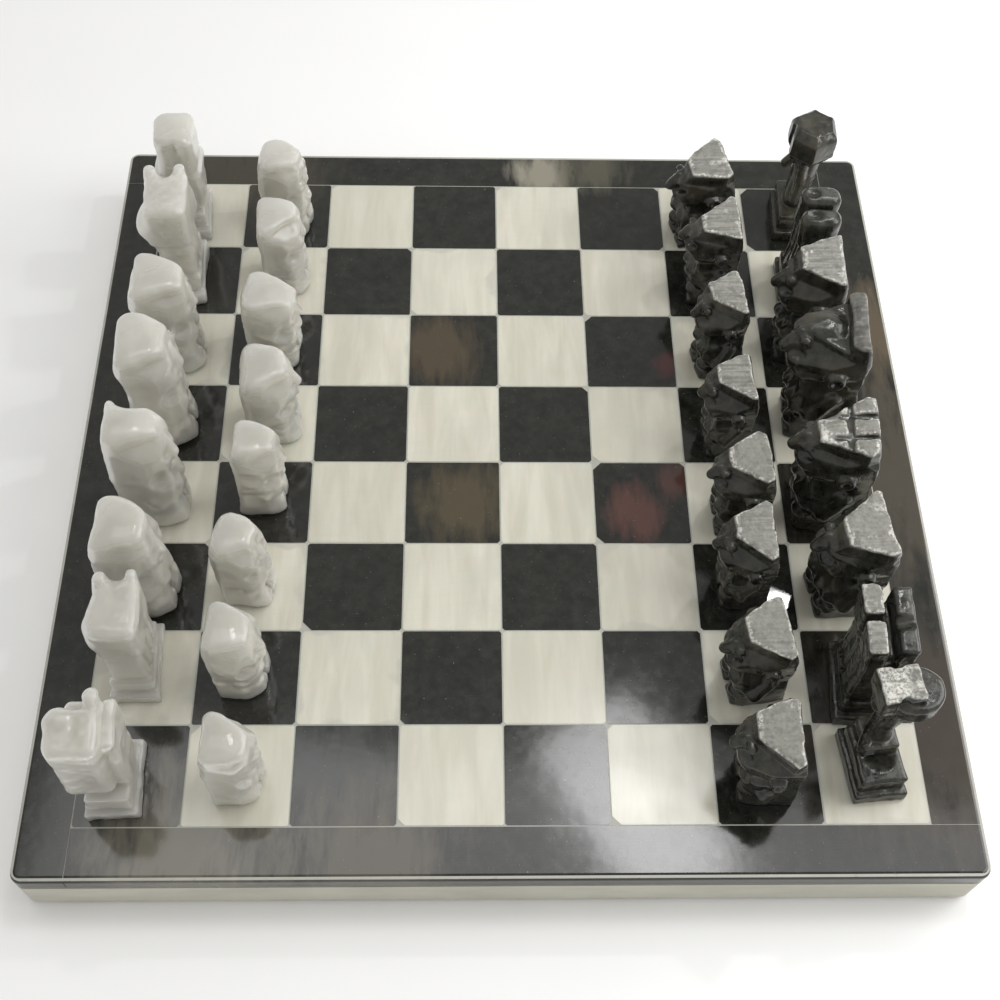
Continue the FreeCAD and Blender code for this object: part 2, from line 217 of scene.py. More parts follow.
def figure_body(g, look):
    """Trunk under a broad headdress that narrows to the brow, folded arms and knees."""
    soft = look["soft"]
    shape = meet(outline(g.x, g.z, FIGURE_SIDE), outline(g.y, g.z, FIGURE_FRONT), soft)
    shape = meet(shape, outline(g.x, g.y, FIGURE_PLAN), soft)
    shape = meet(shape, temples(g, look, (-4.0, 12.4), (16.0, 0.7), 39.0), 0.3)
    shape = cut(shape, both(lambda s: ball(g, (6.0, 12.0 * s, 24.0), (11.0, 5.6, 4.8))), soft)
    shape = cut(shape, brick(g, (13.2, 0, 24.0), (4.6, 12, 1.8), 1.4), soft)
    upper_arm = both(lambda s: limb(g, (-1.0, 8.6 * s, 19.0), (3.0, 9.4 * s, 12.0), 2.8, 3.0))
    forearm = both(lambda s: limb(g, (3.0, 9.0 * s, 12.0), (9.6, 3.4 * s, 16.0), 2.8, 2.8))
    knee = both(lambda s: limb(g, (5.0, 5.0 * s, 3.0), (7.6, 4.8 * s, 6.6), 3.6, 3.4))
    for part in (upper_arm, forearm, knee):
        shape = join(shape, part, soft)
    shape = cut(shape, brick(g, (11.5, 0, 5.0), (4.4, 0.8, 6.0), 0.5), soft * 0.5)
    shape = cut(shape, brick(g, (9.6, 0, 10.6), (4.4, 9.0, 0.8), 0.6), soft * 0.5)
    foot = both(lambda s: brick(g, (5.6, 4.6 * s, 1.3), (4.2, 3.8, 1.5), 0.9))
    return join(shape, foot, soft * 0.5)


def figure_face(g, shape, soft):
    """Brow, nose, eyes, cheeks, lips and ear discs."""
    shape = cut(shape, both(lambda s: ball(g, (14.8, 5.2 * s, 34.6), (4.6, 3.2, 2.4))), soft)
    shape = join(shape, limb(g, (11.0, -3.6, 38.2), (11.0, 3.6, 38.2), 1.7, 1.7), soft)
    shape = join(shape, limb(g, (12.4, 0, 38.6), (15.0, 0, 33.6), 1.5, 2.1), soft)
    shape = join(shape, both(lambda s: ball(g, (10.6, 5.0 * s, 30.6), (2.6, 2.2, 2.4))), soft)
    lips = brick(g, (12.0, 0, 28.4), (1.7, 3.6, 1.7), 1.2)
    lips = cut(lips, brick(g, (13.8, 0, 28.4), (3.0, 3.2, 0.5), 0.3), 0.3)
    shape = join(shape, lips, soft * 0.6)
    ear = both(lambda s: limb(g, (1.2, 9.2 * s, 31.0), (1.2, 11.0 * s, 31.0), 3.4, 3.0))
    ear_hole = both(lambda s: ball(g, (1.2, 14.0 * s, 31.0), (1.9, 1.6, 1.9)))
    return cut(join(shape, ear, soft * 0.5), ear_hole, 0.4)


def figure(g, look):
    """The figure of the dark pawns, bishops, king and queen."""
    soft = look["soft"]
    shape = figure_face(g, figure_body(g, look), soft)
    if look["kind"] == "crowned":
        for across in (-4.0, 4.0):
            shape = cut(shape, brick(g, (0, across, 46), (18, 0.9, 3.2), 0.4), 0.3)
        shape = cut(shape, brick(g, (2.0, 0, 46), (0.8, 16, 3.2), 0.4), 0.3)
    if look["kind"] == "plumed":
        shape = cut(shape, brick(g, (11.0, 0, 50), (11.5, 16, 9.0), 0.8), soft)
        shape = join(shape, ball(g, (5.0, -2.0, 39.0), (6.5, 6.0, 4.0)), soft)
    return shape


def idol(g, look):
    """The smooth figure of the light pawns, bishops, king and queen."""
    soft = look["soft"]
    shape = meet(outline(g.x, g.z, IDOL_SIDE), outline(g.y, g.z, IDOL_FRONT), 1.6 * soft)
    shape = meet(shape, outline(g.x, g.y, IDOL_PLAN), soft)
    shape = meet(shape, temples(g, look, (-5.0, 11.4), (12.0, 2.9), 40.0), soft)
    shape = cut(shape, both(lambda s: ball(g, (8.4, 9.6 * s, 25.0), (5.6, 3.8, 4.4))), soft)
    arm = both(lambda s: limb(g, (2.0, 8.0 * s, 14.0), (7.6, 3.0 * s, 18.0), 2.6, 2.2))
    shape = join(shape, arm, soft)
    shape = join(shape, both(lambda s: ball(g, (6.2, 4.8 * s, 9.0), (2.8, 3.2, 3.2))), soft)
    shape = cut(shape, both(lambda s: ball(g, (11.4, 4.6 * s, 33.8), (3.4, 2.8, 2.2))), 0.7 * soft)
    shape = join(shape, limb(g, (7.4, 0, 38.0), (9.0, 0, 31.5), 1.5, 2.1), 0.8 * soft)
    shape = join(shape, brick(g, (8.4, 0, 27.4), (1.5, 3.0, 1.4), 1.1), 0.8 * soft)
    shape = cut(shape, brick(g, (9.0, 0, 4.0), (4.0, 0.8, 4.5), 0.4), soft * 0.4)
    if look["kind"] == "horned":
        shape = cut(shape, limb(g, (-1, 11.5, 34), (-1, 11.5, 60), 5.6, 6.6), soft)
    return shape


# ---------------------------------------------------------------- rooks and knights

ROOK_HEIGHT = 60.0
ROOK_BOX = ((-10.5, -14.5), (10.5, 14.5))
TOWER_BOX = ((-12.5, -14.5), (9.5, 14.5))
KNIGHT_HEIGHT = 61.0
KNIGHT_BOX = ((-9.8, -15.0), (9.8, 15.0))


def plinth(g, half_x, half_y, soft):
    """Two rounded tiers, the upper one smaller."""
    lower = brick(g, (0, 0, 3.0), (half_x, half_y, 3.0), 0.8)
    upper = brick(g, (0, 0, 10.0), (half_x - 1.3, half_y - 2.4, 4.2), 1.2)
    return join(lower, upper, soft * 0.5)


def disc(g, centre, radius, half, edge):
    """Level round plate with a rounded edge."""
    dx, dy, dz = g.x - centre[0], g.y - centre[1], g.z - centre[2]
    out = np.sqrt(dx * dx + dy * dy) - (radius - edge)
    up = np.abs(dz) - (half - edge)
    return np.hypot(np.maximum(out, 0), np.maximum(up, 0)) + np.minimum(np.maximum(out, up), 0) - edge


def rook(g, look):
    """A notched block and a round plate held up by a stout bar, with a thin bar beside it."""
    soft, lean = look["soft"], look["lean"]
    shape = plinth(g, 9.5, 14.5, soft)
    shape = cut(shape, ball(g, (0, 0, 17.5), (7.5, 10.5, 5.0)), soft)
    shape = join(shape, limb(g, (0, lean * 0.8, 12), (0, lean, 50), 4.4, 5.0), soft)
    shape = join(shape, limb(g, (5.8, lean * 0.2, 12), (5.4, lean * 0.9, 40), 1.9, 1.8), soft * 0.5)
    shape = join(shape, brick(g, (0, lean * 0.8, 17), (6.5, 6.6, 3.2), 1.2), soft)
    shape = join(shape, disc(g, (-4.0, lean + 0.8, 50.5), 9.6, 4.2, 2.0), soft)
    head = brick(g, (2.0, lean, 54.6), (7.6, 7.4, 5.6), 1.0, 4)
    head = join(head, ball(g, (4.5, lean, 47), (5.0, 5.0, 6.0)), soft)
    notch = both(lambda s: limb(g, (2, lean + 8.6 * s, 40), (2, lean + 8.6 * s, 66), 2.6, 2.6))
    return join(shape, cut(head, notch, soft * 0.5), soft)


def crested_rook(g, look):
    """A faceted head with a small crest, on a thick neck with an elbow."""
    soft = look["soft"]
    shape = plinth(g, 9.5, 14.5, soft)
    shape = join(shape, limb(g, (0, 0, 10), (-0.5, 0, 46), 6.0, 6.6), soft)
    shape = join(shape, limb(g, (2, 5.0, 18), (2, 6.2, 40), 2.2, 2.4), soft)
    shape = join(shape, limb(g, (6.5, 1.0, 42), (10.5, 2.0, 38), 2.6, 2.2), soft)
    turned = 0.5 * np.abs(g.x) + 0.866 * np.abs(g.y)
    head = np.maximum(np.maximum(np.abs(g.x) - 10.8, turned - 11.2), np.abs(g.z - 51.0) - 9.0)
    bevel = 0.8 * np.maximum(np.abs(g.x), turned) + 0.6 * np.abs(g.z - 51.0) - 11.6
    shape = join(shape, meet(head, bevel, 0.6), soft)
    shape = cut(shape, limb(g, (12.5, 0, 44), (12.5, 0, 64), 3.0, 3.4), soft * 0.5)
    return join(shape, ball(g, (-1.5, 6.5, 58.5), (3.0, 2.6, 3.4)), soft)


def tower(g, look):
    """A heavy rounded block that overhangs its plinth at the back."""
    soft = look["soft"]
    shape = plinth(g, 9.5, 14.5, soft)
    shape = join(shape, brick(g, (-1.4, 0, 27), (10.6, 10.6, 12.5), 4.0), soft)
    shape = join(shape, brick(g, (-0.8, 0, 49), (8.8, 10.2, 12.0), 4.2), soft)
    return cut(shape, both(lambda s: limb(g, (2, 12.4 * s, 16), (0, 13.0 * s, 62), 3.0, 3.4)), soft)


def knobbed_tower(g, look):
    """A tower whose broad smooth head rises to a corner at the back and a knob to its left."""
    soft = look["soft"]
    shape = plinth(g, 9.5, 14.5, soft)
    shape = join(shape, brick(g, (-0.4, 2.5, 32), (9.2, 8.6, 18.0), 2.4), soft)
    shape = join(shape, brick(g, (-3.6, -2.4, 37), (8.4, 9.0, 19.5), 3.4), 1.5 * soft)
    shape = join(shape, limb(g, (-7.6, -2.0, 40), (-9.4, 2.0, 53.0), 4.0, 3.6), 2.0 * soft)
    return join(shape, limb(g, (1.0, 5.0, 44), (1.6, 9.6, 57.0), 4.2, 3.0), 0.7 * soft)


def fluted_block(g, soft):
    """Plinth and grooved trunk of a knight."""
    shape = plinth(g, 9.0, 15.0, soft)
    trunk = brick(g, (0, 0, 30), (7.0, 11.0, 20), 2.2)
    for across in (-6.0, 0.0, 6.0):
        groove = both(lambda s: limb(g, (7.6 * s, across, 15), (7.6 * s, across, 44), 1.3, 1.3))
        trunk = cut(trunk, groove, 0.5)
    return join(shape, trunk, soft)


def knight(g, look):
    """A grooved block with two sawn ridges in front and a thin crest behind."""
    soft = look["soft"]
    shape = fluted_block(g, soft)
    shape = join(shape, brick(g, (5.4, 7.2, 52), (3.6, 6.0, 10.0), 1.2, 6), 0.7 * soft)
    shape = join(shape, brick(g, (5.4, -6.8, 52), (3.6, 5.6, 10.0), 1.2, 6), 0.7 * soft)
    crest = brick(g, (-5.0, 0, 48.5), (3.4, 12.4, 10.4), 1.6)
    crest = cut(crest, limb(g, (-9, 1.0, 62), (0, 1.0, 58), 3.0, 3.0), soft)
    crest = cut(crest, limb(g, (-8.4, -15, 46), (-8.4, 15, 46), 2.2, 2.2), soft)
    shape = join(shape, crest, 0.7 * soft)
    return cut(shape, limb(g, (0.2, -16, 58.5), (0.2, 16, 58.5), 1.6, 1.6), soft * 0.4)


def lobed_knight(g, look):
    """A grooved block under two tall rounded lobes."""
    soft = look["soft"]
    shape = fluted_block(g, soft)
    for across, rise in ((6.4, 49.5), (-6.0, 50.5)):
        lobe = brick(g, (-0.5, across, rise), (8.6, 5.4, 10.5), 4.6)
        shape = join(shape, cut(lobe, ball(g, (3.0, across, rise + 12), (4.0, 3.4, 4.0)), soft), 0.6)
    return shape


def winged_knight(g, look):
    """A broad smooth head with two short horns to its left, over a grooved trunk."""
    soft = look["soft"]
    shape = fluted_block(g, soft)
    shape = join(shape, brick(g, (0.4, -2.0, 46), (8.4, 11.0, 11.5), 3.6), soft)
    shape = join(shape, ball(g, (-6.4, -5.0, 45), (4.6, 7.0, 8.5)), soft)
    shape = join(shape, limb(g, (-5.4, 6.0, 44), (-6.2, 9.6, 57.0), 4.4, 2.6), soft)
    shape = join(shape, limb(g, (3.8, 6.0, 44), (5.4, 10.0, 57.0), 4.4, 2.4), soft)
    return cut(shape, limb(g, (-0.6, 5, 60), (-0.6, 16, 54), 2.6, 3.4), soft * 0.6)


DESIGNS = {
    "figure": (figure, FIGURE_HEIGHT, FIGURE_BOX),
    "crowned": (figure, FIGURE_HEIGHT, FIGURE_BOX),
    "plumed": (figure, FIGURE_HEIGHT, FIGURE_BOX),
    "idol": (idol, FIGURE_HEIGHT, IDOL_BOX),
    "horned": (idol, FIGURE_HEIGHT, IDOL_BOX),
    "rook": (rook, ROOK_HEIGHT, ROOK_BOX),
    "crested": (crested_rook, ROOK_HEIGHT, ROOK_BOX),
    "tower": (tower, ROOK_HEIGHT, TOWER_BOX),
    "knobbed": (knobbed_tower, ROOK_HEIGHT, TOWER_BOX),
    "knight": (knight, KNIGHT_HEIGHT, KNIGHT_BOX),
    "lobed": (lobed_knight, KNIGHT_HEIGHT, KNIGHT_BOX),
    "winged": (winged_knight, KNIGHT_HEIGHT, KNIGHT_BOX),
}

# From rank 1 to rank 8: each officer's name, its design, its turn, which is its CAD node's, how
# steeply its top falls forward, both in degrees, and how far it is set over on its plinth.
OFFICERS = {
    "dark": [
        ("rook_1", "rook", 7, 0, -7.0), ("knight_1", "knight", -2, 0, 0),
        ("bishop_1", "figure", 6, 2, 0), ("king", "crowned", -4, 8, 0),
        ("queen", "plumed", -4, 5, 0), ("bishop_2", "figure", -3, 1, 0),
        ("knight_2", "lobed", -4, 0, 0), ("rook_2", "crested", -3, 0, 0),
    ],
    "light": [
        ("rook_1", "knobbed", 2, 0, 0), ("knight_1", "winged", 1, 0, 0),
        ("bishop_1", "idol", -4, 0, 0), ("king", "horned", -1, 8, 0),
        ("queen", "idol", 5, 4, 0), ("bishop_2", "idol", 2, 2, 0),
        ("knight_2", "winged", 5, 0, 0), ("rook_2", "tower", 4, 0, 0),
    ],
}
PAWN_KIND = {"dark": "figure", "light": "idol"}
PAWN_TURNS_AND_SLANTS = {
    "dark": [(-1, 4), (8, 2), (1, 4), (3, 5), (2, 3), (8, 3), (1, 3), (12, 2)],
    "light": [(-5, 7), (-5, 9), (-12, 3), (-1, 6), (6, 1), (-5, 9), (4, 6), (-10, 0)],
}

# How each stone was worked, in millimetres: the softness of its joins, how far tumbling
# rounded it, how far its whole shape and its surface wander, how deep its edges are chipped,
# and how much its top is domed.
STONE_LOOKS = {
    "dark": {
        "soft": 0.9, "tumbled": 0.0, "bend": 0.9, "wander": 0.35, "chips": 1.5, "dome": 0.0,
    },
    "light": {
        "soft": 1.8, "tumbled": 1.6, "bend": 1.5, "wander": 0.5, "chips": 0.3, "dome": 0.02,
    },
}
# Designs whose tops were polished again, and how much of the saw's look is left on them.
POLISHED_TOPS = {"crested": 0.0, "lobed": 0.1, "plumed": 0.35}
# The largest skew of a head's plan, and how far out its back corners are cut off.
SKEW = 0.22
CORNER = (11.2, 13.4)
# Room on the grid round a design's box: along x, along y, below its foot and above its top.
ROOM = (3, 4, 1.5, 2.5)
# Size of the lumps that bend a whole piece, and how far from the saw's cut and from the flank
# the chips of a sawn rim reach.
BEND_SPACING = 14.0
CHIPS_BELOW = 2.5
CHIPS_INWARD = 2.0
# How far below a sawn top its look starts, how far it takes to fade in, and the width of the chipped
# rim that gets a painted highlight.
SAWN_BELOW = 1.4
SAWN_FADE = 0.5
GLINT_RIM_WIDTH = 0.9


def largest_part(quads, count):
    """Which faces belong to the largest connected part, so that no crumb of stone floats free."""
    label = np.arange(count)
    settled = False
    while not settled:
        lower = label.copy()
        np.minimum.at(lower, quads.ravel(), np.repeat(label[quads].min(1), 4))
        lower = lower[lower]
        settled = np.array_equal(lower, label)
        label = lower
    names = label[quads[:, 0]]
    return names == np.bincount(names).argmax()


def carve(kind, colour, slant, lean, seed):
    """Vertices and faces of one piece in its design's millimetres, and how each point is sawn.

    The last is 0 on carved stone, 1 on a sawn top and up to 2 on the chipped rim of a top, where the
    material paints a highlight that stands for the glint on that edge.
    """
    make, height, ((x0, y0), (x1, y1)) = DESIGNS[kind]
    aside, across, below, above = ROOM
    g = Grid((x0 - aside, y0 - across, -below), (x1 + aside, y1 + across, height + above), seed)
    look = dict(STONE_LOOKS[colour], kind=kind, lean=lean)
    look["skew"] = g.chance.uniform(-SKEW, SKEW)
    look["corner"] = g.chance.uniform(*CORNER)
    x, y, z = g.x, g.y, g.z
    g.warp(BEND_SPACING, look["bend"])
    body = make(g, look) + look["wander"] * (0.6 * g.waves(5.0) + 0.3 * g.waves(2.2))
    fall = math.tan(math.radians(slant))
    lid = (z - height + (x - x0) * fall) * math.cos(math.radians(slant))
    lid = lid + look["dome"] * (x * x + 0.6 * y * y)
    top = np.clip(1 - np.abs(lid) / CHIPS_BELOW, 0, 1)
    body = body + look["chips"] * top * (0.3 + 0.5 * g.waves(2.6))
    rim = top * np.clip(1 - np.abs(body) / CHIPS_INWARD, 0, 1)
    lid = lid + look["chips"] * rim * (1 + g.waves(1.8)) * 0.5
    shape = np.maximum(meet(body, lid, 0.25 + look["tumbled"]), -z)
    grid = openvdb.FloatGrid(1.0)
    grid.copyFromArray(np.ascontiguousarray(shape, np.float32))
    points, quads = grid.convertToQuads()
    used, quads = np.unique(quads[largest_part(quads, len(points))], return_inverse=True)
    points, quads = points[used], quads.reshape(-1, 4)
    depth = -body[tuple(np.rint(points).astype(int).T)]
    points = points * VOXEL + g.low
    level = points[:, 2] - height + (points[:, 0] - x0) * fall
    sawn = np.clip((level + SAWN_BELOW) / SAWN_FADE, 0, 1) * POLISHED_TOPS.get(kind, 1.0)
    # Above 1 on the chipped rim of the top: the material paints a near-white highlight there for the
    # glint on that edge.
    return points, quads, sawn * (1 + np.clip(1 - depth / GLINT_RIM_WIDTH, 0, 1))


def fit_to_node(points, node, kind, turn):
    """Moves design points, in millimetres, onto the box of the CAD node, turned as it is."""
    _, height, ((x0, y0), (x1, y1)) = DESIGNS[kind]
    spin = Matrix.Rotation(math.radians(turn), 3, "Z")
    corners = np.array([v.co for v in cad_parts[node].data.vertices]) @ np.array(spin)
    low, high = corners.min(0), corners.max(0)
    share = (points - (x0, y0, 0)) / (x1 - x0, y1 - y0, height)
    return (low + share * (high - low)) @ np.array(spin).T


def make_piece(node, kind, colour, turn, slant, lean, seed):
    """One carved piece in place of its CAD node."""
    points, quads, sawn = carve(kind, colour, slant, lean, seed)
    points = fit_to_node(points, node, kind, turn if colour == "light" else turn + 180)
    mesh = bpy.data.meshes.new("carved_" + node)
    # Known fault: the reversed corner order points every face of a carved piece inward.
    mesh.from_pydata(points.tolist(), [], quads[:, ::-1].tolist())
    mesh.polygons.foreach_set("use_smooth", [True] * len(mesh.polygons))
    # The sawn attribute also holds the rim's painted highlight, in its values above 1.
    mesh.attributes.new("sawn", "FLOAT", "POINT").data.foreach_set("value", sawn)
    piece = bpy.data.objects.new("carved_" + node, mesh)
    bpy.context.scene.collection.objects.link(piece)
    mesh.materials.append(MATERIALS[colour + "_stone_carved"])
    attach(piece, node)
    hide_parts(node)
    return piece


# ---------------------------------------------------------------- materials

class Paint:
    """Builds the nodes of one material; lengths in its textures are in millimetres."""

    def __init__(self, name, **surface):
        self.material = bpy.data.materials.new(name)
        self.material.use_nodes = True
        self.nodes = self.material.node_tree.nodes
        self.links = self.material.node_tree.links
        self.shader = self.nodes["Principled BSDF"]
        for socket, value in surface.items():
            self.put(self.shader.inputs[socket.replace("_", " ")], value)
        self.place = self.add("TexCoord").outputs["Object"]
        self.mm = self.add("VectorMath", self.place, Scale=1000.0, operation="SCALE").outputs[0]

    def put(self, socket, value):
        """Links a node's output to a socket, or sets the socket's own value."""
        if isinstance(value, bpy.types.NodeSocket):
            self.links.new(value, socket)
        elif hasattr(value, "__len__") and len(value) == 3 and socket.type == "RGBA":
            socket.default_value = (*value, 1)
        else:
            socket.default_value = value

    def add(self, kind, *inputs, **settings):
        """A shader node; capitalised settings are sockets, the others are properties."""
        made = self.nodes.new("ShaderNode" + kind)
        for name, value in settings.items():
            if name[0].islower():
                setattr(made, name, value)
        for socket, value in zip(made.inputs, inputs):
            self.put(socket, value)
        for name, value in settings.items():
            if name[0].isupper():
                self.put(made.inputs[name], value)
        return made

    def math(self, operation, *inputs):
        return self.add("Math", *inputs, operation=operation).outputs[0]

    def vector(self, operation, *inputs):
        return self.add("VectorMath", *inputs, operation=operation).outputs[0]

    def stretched(self, sizes, turn=0.0, offset=None):
        """Texture coordinates in which one unit is the given size along each axis."""
        start = self.mm if offset is None else self.vector("ADD", self.mm, offset)
        scale = [1 / s for s in sizes]
        mapping = self.add("Mapping", start, Rotation=(0, 0, math.radians(turn)), Scale=scale)
        return mapping.outputs[0]

    def noise(self, place, detail=3.0, rough=0.5, distort=0.0):
        made = self.add(
            "TexNoise", Vector=place, Scale=1.0, Detail=detail, Roughness=rough, Distortion=distort
        )
        return made.outputs[0]

    def ramp(self, value, low, high, to_low=0.0, to_high=1.0):
        """Clamped straight ramp, falling if low is above high."""
        made = self.add("MapRange", value, low, high, to_low, to_high, clamp=True)
        return made.outputs[0]

    def mix(self, share, a, b):
        made = self.add("Mix", data_type="RGBA")
        self.put(made.inputs[0], share)
        self.put(made.inputs[6], a)
        self.put(made.inputs[7], b)
        return made.outputs[2]

    def bump(self, height, depth):
        """Surface relief; depth is what a height of 1 stands for, in millimetres."""
        made = self.add("Bump", Strength=1.0, Distance=depth * MM, Height=height)
        self.put(self.shader.inputs["Normal"], made.outputs[0])

    def seams(self, spacing, width, wobble, turn=0.0, offset=None):
        """Thin wavering lines that run side by side, 1 on the line."""
        across = self.add("SeparateXYZ", self.stretched((spacing, 1, 1), turn, offset)).outputs[0]
        bend = self.noise(self.stretched((28, 28, 28), 0, offset), 3)
        place = self.math("ADD", across, self.math("MULTIPLY", bend, wobble / spacing))
        gap = self.math("ABSOLUTE", self.math("SUBTRACT", self.math("FRACT", place), 0.5))
        return self.ramp(gap, 0.0, width / spacing, 1.0, 0.0)

    def finish(self, colour, roughness):
        self.put(self.shader.inputs["Base Color"], colour)
        self.put(self.shader.inputs["Roughness"], roughness)
        return self.material


def tile_cell(paint):
    """(random colour of the tile, distance from its nearest edge in millimetres)."""
    step = SQUARE / MM
    across = paint.vector("DIVIDE", paint.mm, (step, step, step))
    flat = paint.vector("MULTIPLY", across, (1, 1, 0))
    cell = paint.vector("FLOOR", flat)
    chance = paint.add("TexWhiteNoise", Vector=cell, noise_dimensions="3D").outputs["Color"]
    part = paint.add("SeparateXYZ", paint.vector("FRACTION", flat))
    gaps = []
    for axis in (0, 1):
        out = part.outputs[axis]
        gaps.append(paint.math("MINIMUM", out, paint.math("SUBTRACT", 1.0, out)))
    return chance, paint.math("MULTIPLY", paint.math("MINIMUM", *gaps), step)


def light_tile_material():
    """Cream banded onyx with cloudy bands, hairline cracks and clear grey margins."""
    p = Paint("light_stone_polished", Subsurface_Weight=0.15, Subsurface_Scale=0.004, IOR=1.5)
    chance, edge = tile_cell(p)
    pick = p.add("SeparateColor", chance)
    shift = p.vector("MULTIPLY", chance, (900, 900, 900))
    bands = p.noise(p.stretched((7, 45, 40), 4, shift), 4, 0.55, 0.4)
    clouds = p.noise(p.stretched((24, 24, 24), 0, shift), 3, 0.5, 0.3)
    colour = p.mix(p.ramp(bands, 0.35, 0.65), (0.56, 0.538, 0.446), (0.67, 0.648, 0.556))
    colour = p.mix(p.ramp(clouds, 0.5, 0.72, 0, 0.5), colour, (0.55, 0.54, 0.47))
    wander = p.noise(p.stretched((17, 17, 17), 0, shift), 2)
    reach = p.math("MULTIPLY", p.ramp(wander, 0.46, 0.7), p.ramp(pick.outputs[0], 0.35, 1, 0, 7))
    margin = p.ramp(p.math("SUBTRACT", p.math("ADD", reach, 0.3), edge), -0.6, 1.6)
    colour = p.mix(p.math("MULTIPLY", margin, 0.5), colour, (0.44, 0.435, 0.39))
    line = p.seams(46, 0.35, 30, 12, shift)
    line = p.math("MULTIPLY", line, p.ramp(pick.outputs[1], 0.4, 0.65, 0, 0.5))
    colour = p.mix(line, colour, (0.36, 0.345, 0.29))
    colour = p.mix(p.ramp(pick.outputs[2], 0.3, 1.0, 0, 0.3), colour, (0.52, 0.505, 0.42))
    p.bump(p.noise(p.stretched((9, 9, 9)), 2), 0.03)
    return p.finish(colour, p.ramp(clouds, 0.3, 0.7, 0.12, 0.22))


# Coloured clouds in the dark stone: the centre, in squares from the board's centre, how far
# the cloud reaches from it, in squares, and its colour.
DARK_CLOUDS = [
    ((-0.75, 1.5), 0.62, (0.075, 0.055, 0.032)),
    ((-0.38, -0.5), 0.6, (0.08, 0.064, 0.036)),
    ((1.45, -0.62), 0.42, (0.1, 0.042, 0.034)),
    ((1.85, -0.25), 0.3, (0.075, 0.034, 0.028)),
    ((1.92, 1.3), 0.22, (0.07, 0.02, 0.018)),
    ((-1.55, -3.5), 0.85, (0.055, 0.056, 0.055)),
    ((0.55, 4.22), 0.45, (0.3, 0.28, 0.22)),
    ((1.2, 4.3), 0.5, (0.09, 0.085, 0.06)),
    ((-3.1, 4.25), 1.2, (0.05, 0.044, 0.03)),
    ((4.25, 1.8), 0.9, (0.11, 0.085, 0.055)),
    ((4.3, -0.2), 1.5, (0.07, 0.06, 0.044)),
    ((4.25, -3.0), 1.6, (0.055, 0.045, 0.034)),
    ((-2.9, -4.25), 1.1, (0.14, 0.13, 0.1)),
    ((-1.2, -4.3), 0.9, (0.09, 0.08, 0.06)),
]


def dark_stone_material():
    """Near-black stone with specks, scratches, pale veins and brown and red clouds."""
    p = Paint("dark_stone_polished", IOR=1.52)
    grain = p.noise(p.stretched((5, 5, 5)), 5, 0.65)
    colour = p.mix(p.ramp(grain, 0.35, 0.7), (0.0075, 0.0078, 0.006), (0.022, 0.022, 0.018))
    ragged = p.noise(p.stretched((6, 24, 12), -12), 5, 0.6, 0.3)
    for (across, along), reach, tint in DARK_CLOUDS:
        centre = (across * SQUARE, along * SQUARE, BOARD_TOP)
        gap = p.add("VectorMath", p.place, centre, operation="DISTANCE").outputs["Value"]
        near = p.ramp(gap, 1.15 * reach * SQUARE, 0.0)
        streak = p.math("ADD", near, p.math("MULTIPLY", p.math("SUBTRACT", ragged, 0.5), 1.6))
        share = p.math("MULTIPLY", p.ramp(streak, 0.12, 0.7, 0, 0.85), p.ramp(near, 0.0, 0.2))
        colour = p.mix(share, colour, tint)
    specks = p.ramp(p.noise(p.stretched((0.9, 0.9, 0.9)), 1), 0.74, 0.8, 0, 0.35)
    colour = p.mix(specks, colour, (0.4, 0.37, 0.3))
    veins = p.seams(70, 0.3, 40, 58)
    veins = p.math("MULTIPLY", veins, p.ramp(p.noise(p.stretched((45, 45, 45))), 0.48, 0.62, 0, 0.4))
    colour = p.mix(veins, colour, (0.3, 0.28, 0.22))
    scratch = p.seams(9, 0.12, 6, 62)
    scratch = p.math("MULTIPLY", scratch, p.ramp(p.noise(p.stretched((12, 12, 12))), 0.6, 0.7, 0, 0.12))
    colour = p.mix(scratch, colour, (0.5, 0.5, 0.48))
    p.bump(p.noise(p.stretched((11, 11, 11)), 2), 0.035)
    return p.finish(colour, p.ramp(grain, 0.3, 0.7, 0.09, 0.12))


def light_carved_material():
    """Milky onyx, waxy from tumbling, clearer in cloudy streaks."""
    p = Paint(
        "light_stone_carved", Subsurface_Weight=1.0, Subsurface_Scale=0.02, IOR=1.46,
        Subsurface_Radius=(1.0, 0.97, 0.9), Transmission_Weight=0.25, Coat_Weight=0.5,
        Coat_Roughness=0.05,
    )
    streaks = p.noise(p.stretched((14, 14, 30), 20), 3, 0.5, 0.3)
    colour = p.mix(p.ramp(streaks, 0.35, 0.68), (0.51, 0.497, 0.451), (0.6, 0.586, 0.534))
    p.bump(p.noise(p.stretched((3.4, 3.4, 3.4)), 3), 0.08)
    return p.finish(colour, p.ramp(streaks, 0.3, 0.7, 0.34, 0.44))


